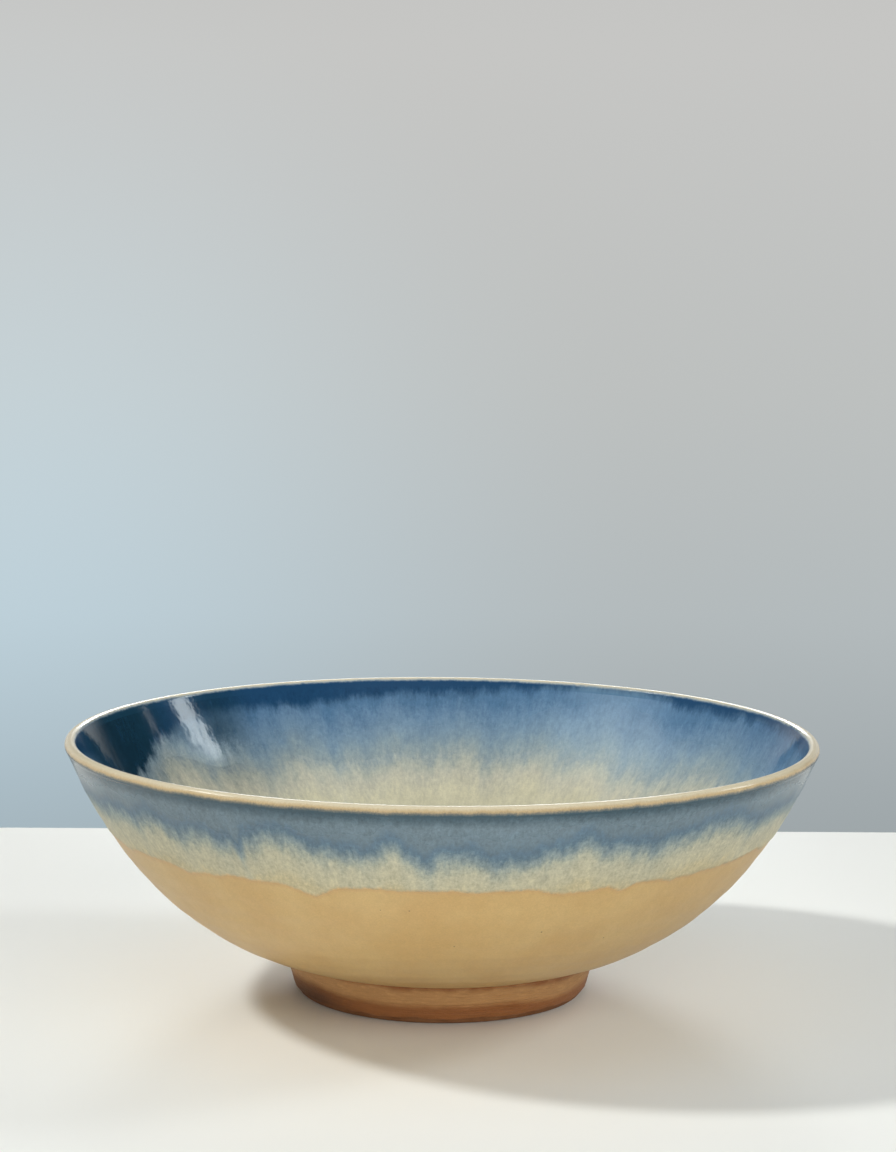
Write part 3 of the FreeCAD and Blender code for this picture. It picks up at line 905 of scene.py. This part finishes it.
def clay_material():
    """Bare fired stoneware."""
    finish = Finish("stoneware_clay_finish")
    lines = finish.noise(finish.vector("flow", (0.10, 0.10, 1)), 1.2 * MM, 3.0, 0.6)
    mottle = finish.noise(finish.place(), 12 * MM, 3.0)
    grain = finish.noise(finish.place(), 0.7 * MM, 3.0, 0.7)
    colour = finish.mix(finish.step(mottle, -1.0, 1.0), TOAST, CLAY)
    colour = finish.mix(finish.number("edge"), colour, DARK_BROWN)
    colour = finish.shade(colour, finish.weighted((lines, 0.05), (grain, 0.08)))
    finish.bump(finish.sum(lines, grain), 0.05 * MM)
    return finish.done(colour, 0.7)


# ------------------------------------------------------------------ pieces


def make_bowl():
    """All nine pieces.  The lines between the coats run down the outside and up to the lip."""
    lip_under = np.zeros(COLUMNS)
    outer_blue = -outer_blue_edge(AZIMUTHS)
    outer_cream = -outer_cream_edge(AZIMUTHS)
    foot = lip_under - OUTSIDE.junction
    lip_top = lip_under + LIP_LENGTH + LIP_GLAZE_END
    inner_blue = LIP_LENGTH + inner_blue_edge(AZIMUTHS)
    middle = lip_under + LIP_LENGTH + INSIDE.length - AXIS_GAP
    outer = blue_and_cream("outer_band_finish", outer_bands)
    inner = blue_and_cream("inner_band_finish", inner_bands)
    clay = clay_material()
    piece = coat("lip_coat", lip_top, lip_under, 30, (1, 12))
    finish_piece(piece, "lip_glaze", lip_material())
    piece = coat("inner_blue_coat", inner_blue, lip_top, 40, (2, 8))
    finish_piece(piece, "inner_blue_glaze", inner)
    piece = coat("inner_cream_coat", middle, inner_blue, 110, (6, 2), capped=True)
    finish_piece(piece, "inner_cream_glaze", inner)
    piece = coat("outer_blue_coat", lip_under, outer_blue, 30, (2, 10))
    finish_piece(piece, "outer_blue_glaze", outer)
    piece = coat("outer_cream_coat", outer_blue, outer_cream, 48, (2, 10))
    finish_piece(piece, "outer_cream_glaze", outer)
    piece = coat("outer_tan_coat", outer_cream, foot, 72, (3, 4))
    finish_piece(piece, "outer_tan_glaze", tan_material())
    finish_piece(foot_wash_piece(), "foot_wash", wash_material())
    finish_piece(foot_piece(), "foot_ring", clay)
    finish_piece(clay_piece(), "bowl_body", clay)


make_bowl()

# ------------------------------------------------------------ table, light

TABLE_FAR_EDGE = 0.366
TABLE_TURN = math.radians(0.86)
TABLE_REACH = 3.0
TABLE_THICK = 0.03
TABLE_DROP = 0.1 * MM


def table_material():
    """Matt white, with a very faint soft unevenness."""
    finish = Finish("table_finish")
    soft = finish.noise(finish.place(), 0.4, 2.0)
    colour = finish.mix(finish.step(soft, -1.0, 1.0), paint(234, 236, 232), paint(237, 239, 236))
    return finish.done(colour, 0.5)


def make_table():
    """A plain pale table top, just under the foot."""
    x, near, far, top = TABLE_REACH, -TABLE_REACH, TABLE_FAR_EDGE, -TABLE_DROP
    corners = [(-x, near), (x, near), (x, far), (-x, far)]
    points = [(a, b, top) for a, b in corners] + [(a, b, top - TABLE_THICK) for a, b in corners]
    faces = [(0, 1, 2, 3), (7, 6, 5, 4)]
    faces += [(i, i + 4, (i + 1) % 4 + 4, (i + 1) % 4) for i in range(4)]
    mesh = bpy.data.meshes.new("table_top")
    mesh.from_pydata(points, [], faces)
    mesh.materials.append(table_material())
    table = bpy.data.objects.new("table_top", mesh)
    table.rotation_euler.z = TABLE_TURN
    bpy.context.scene.collection.objects.link(table)


def from_bowl(azimuth, elevation, distance):
    """A point seen from the middle of the bowl's mouth."""
    a, e = math.radians(azimuth), math.radians(elevation)
    ray = Vector((math.cos(a) * math.cos(e), math.sin(a) * math.cos(e), math.sin(e)))
    return Vector((0, 0, BOWL_HEIGHT)) + distance * ray, ray


def lamp(name, azimuth, elevation, distance, size, radiance, colour=(1, 1, 1), glossy=True, diffuse=True):
    """A flat light that faces the bowl, round if size is one number, with a given radiance."""
    data = bpy.data.lights.new(name, "AREA")
    wide, high = size if isinstance(size, tuple) else (size, size)
    data.shape = "RECTANGLE" if isinstance(size, tuple) else "DISK"
    area = wide * high * (1 if isinstance(size, tuple) else math.pi / 4)
    data.size = wide
    data.size_y = high
    data.color = colour
    data.energy = radiance * math.pi * area
    light = bpy.data.objects.new(name, data)
    light.location, ray = from_bowl(azimuth, elevation, distance)
    light.rotation_euler = ray.to_track_quat("Z", "Y").to_euler()
    light.visible_camera = False
    light.visible_glossy = glossy
    light.visible_diffuse = diffuse
    bpy.context.scene.collection.objects.link(light)


# The backdrop's colours by the height of the view ray, then the dim room above it
BACKDROP = (
    (-0.25, paint(146, 155, 158)),
    (-0.19, paint(162, 170, 173)),
    (-0.13, paint(179, 186, 188)),
    (-0.05, paint(189, 192, 191)),
    (0.07, paint(198, 198, 196)),
    (0.12, paint(196, 196, 194)),
    (0.24, paint(104, 104, 104)),
    (1.0, paint(96, 96, 96)),
)
BLUE_GLOW = (-0.17, 0.976, -0.13)
BLUE_GLOW_REACH = 0.26
BLUE_GLOW_TINT = (1.13, 1.28, 1.38, 1.0)
# The dark corner of the room, right of the table and above it, by the view ray's X and Z
DARK_FROM_X, DARK_FULL_X = 0.38, 0.62
DARK_FROM_Z, DARK_FULL_Z = 0.02, 0.14
DARK_ROOM = (0.015, 0.016, 0.018, 1.0)

KEY_PLACE = (175, 46.5, 3.0)
KEY_SIZE = 0.34
KEY_COLOUR = (1.0, 0.99, 0.96)


def make_lights():
    """Soft lights, split into those that only light the bowl and those that only reflect in it."""
    lamp("key", *KEY_PLACE, KEY_SIZE, 188, KEY_COLOUR, glossy=False)
    lamp("key_glint", *KEY_PLACE, KEY_SIZE, 55, KEY_COLOUR, diffuse=False)
    lamp("window", 12, 28, 2.6, (0.46, 0.62), 22.0, (0.97, 0.99, 1.0), glossy=False)
    lamp("front_fill", 290, 30, 2.2, (1.6, 1.2), 2.55, (1.0, 0.99, 0.97), glossy=False)
    lamp("low_fill", 264, 8, 2.4, (1.5, 0.6), 4.4, glossy=False)
    lamp("back_fill", 90, 28, 2.4, (2.4, 0.9), 1.1, glossy=False)
    lamp("back_card", 90, 22, 2.4, (0.8, 0.6), 6.5, (0.92, 0.98, 1.0), diffuse=False)
    lamp("right_fill", 338, 14, 2.2, (1.2, 0.9), 2.0, glossy=False)
    lamp("overhead", 270, 85, 2.0, (1.8, 1.8), 0.6, glossy=False)
    lamp("window_card", 15, 27.5, 2.6, (0.30, 0.74), 7.5, (0.90, 0.99, 1.0), diffuse=False)
    lamp("window_strip", 32, 20, 2.6, (0.022, 1.1), 5.0, diffuse=False)


def make_world():
    """A soft grey backdrop, bluer low on the left, in a room that is dim higher up and dark on the right."""
    world = bpy.data.worlds.new("studio")
    world.use_nodes = True
    sky = Nodes(world.node_tree)
    ray = sky.add("ShaderNodeTexCoord", {}).outputs["Generated"]
    split = sky.add("ShaderNodeSeparateXYZ", {0: ray})
    across, height = split.outputs["X"], split.outputs["Z"]
    away = sky.add("ShaderNodeVectorMath", {0: ray, 1: BLUE_GLOW}, operation="DISTANCE").outputs["Value"]
    near = sky.step(away, BLUE_GLOW_REACH, 0.0)
    colour = sky.mix(near, sky.ramp(height, BACKDROP), BLUE_GLOW_TINT, "MULTIPLY")
    corner = sky.times(
        sky.step(across, DARK_FROM_X, DARK_FULL_X), sky.step(height, DARK_FROM_Z, DARK_FULL_Z)
    )
    sky.put(sky.tree.nodes["Background"].inputs["Color"], sky.mix(corner, colour, DARK_ROOM))
    bpy.context.scene.world = world


make_table()
make_lights()
make_world()

# ------------------------------------------------------------------ camera

CAMERA_PLACE = (0.0, -1.3279, 0.3552)
CAMERA_LENS = 87.5
CAMERA_PITCH = math.radians(-6.662)
CAMERA_TURN = math.radians(-0.089)
CAMERA_ROLL = math.radians(0.509)


def make_camera():
    """The camera at the photograph's viewing angle."""
    camera = bpy.data.objects.new("camera", bpy.data.cameras.new("camera"))
    camera.data.lens = CAMERA_LENS
    turn = Matrix.Rotation(CAMERA_TURN, 4, "Z")
    pitch = Matrix.Rotation(math.pi / 2 + CAMERA_PITCH, 4, "X")
    roll = Matrix.Rotation(CAMERA_ROLL, 4, "Z")
    camera.matrix_world = Matrix.Translation(CAMERA_PLACE) @ turn @ pitch @ roll
    bpy.context.scene.collection.objects.link(camera)
    bpy.context.scene.camera = camera
    bpy.context.scene.view_settings.view_transform = "Standard"


make_camera()
